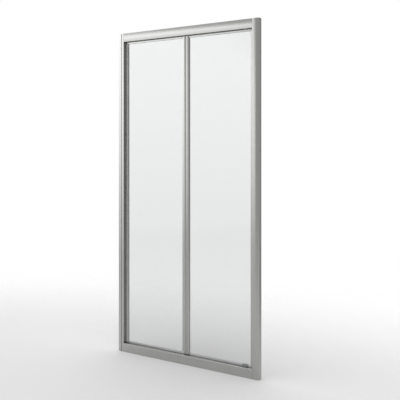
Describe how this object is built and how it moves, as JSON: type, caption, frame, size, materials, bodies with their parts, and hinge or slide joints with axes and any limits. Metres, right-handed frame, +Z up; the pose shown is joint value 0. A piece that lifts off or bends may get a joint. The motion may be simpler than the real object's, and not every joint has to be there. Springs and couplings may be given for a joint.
{
  "type": "shower door",
  "caption": "Framed folding shower door: two glass leaves hinged together, one pivoting at the jamb, the other guided in the head rail, folding inward for entry.",
  "frame": {"origin": "middle of the door's box, on the underside of the sill", "axes": "+Z up, +Y into the shower, +X along the door towards the pivot jamb"},
  "size_m": [0.9, 0.038, 1.85],
  "materials": {
    "satin_aluminium": "satin",
    "clear_glass": "clear",
    "grey_seal": "matte",
    "steel": "satin",
    "grey_plastic": "matte",
    "magnet_strip": "matte"
  },
  "bodies": {
    "frame": {"wall_profile_left": "satin_aluminium", "wall_profile_right": "satin_aluminium", "jamb_post_left": "satin_aluminium", "jamb_post_right": "satin_aluminium", "post_cap_left": "satin_aluminium", "post_cap_right": "satin_aluminium", "head_rail": "satin_aluminium", "sill_rail": "satin_aluminium", "top_pivot_bush": "grey_plastic", "bottom_pivot_bush": "grey_plastic", "strike_magnet": "magnet_strip", "pivot_side_seal": "grey_seal"},
    "pivot_leaf": {"pivot_stile": "satin_aluminium", "pivot_hinge_stile": "satin_aluminium", "pivot_glass": "clear_glass", "pivot_top_rail": "satin_aluminium", "pivot_gaskets": "grey_seal", "pivot_bottom_seal": "grey_seal", "top_pivot_shoe": "grey_plastic", "top_pivot_pin": "steel", "bottom_pivot_shoe": "grey_plastic", "bottom_pivot_pin": "steel", "hinge_pin": "steel", "hinge_washers": "grey_plastic", "pivot_stile_caps": "grey_plastic"},
    "leading_leaf": {"leading_stile": "satin_aluminium", "leading_hinge_stile": "satin_aluminium", "leading_glass": "clear_glass", "leading_top_rail": "satin_aluminium", "leading_gaskets": "grey_seal", "leading_bottom_seal": "grey_seal", "guide_shoe": "grey_plastic", "guide_axle": "steel", "door_magnet": "magnet_strip", "leading_stile_caps": "grey_plastic"},
    "guide_roller": {"guide_roller": "grey_plastic"}
  },
  "joints": [
    {"name": "pivot", "type": "hinge", "parent": "frame", "child": "pivot_leaf", "pos_m": [0.36, 0.0097, 0.92], "axis": [0, 0, -1], "range_deg": [0, 85]},
    {"name": "leaf_hinge", "type": "hinge", "parent": "pivot_leaf", "child": "leading_leaf", "pos_m": [0, 0.0005, 0.92], "axis": [0, 0, 1], "range_deg": [0, 170]},
    {"name": "roller_spin", "type": "hinge", "parent": "leading_leaf", "child": "guide_roller", "pos_m": [-0.36, 0.0097, 1.811], "axis": [0, 0, 1], "continuous": true}
  ],
  "couplings": [
    {"joint": "leaf_hinge", "follows": "pivot", "ratio": 2}
  ]
}
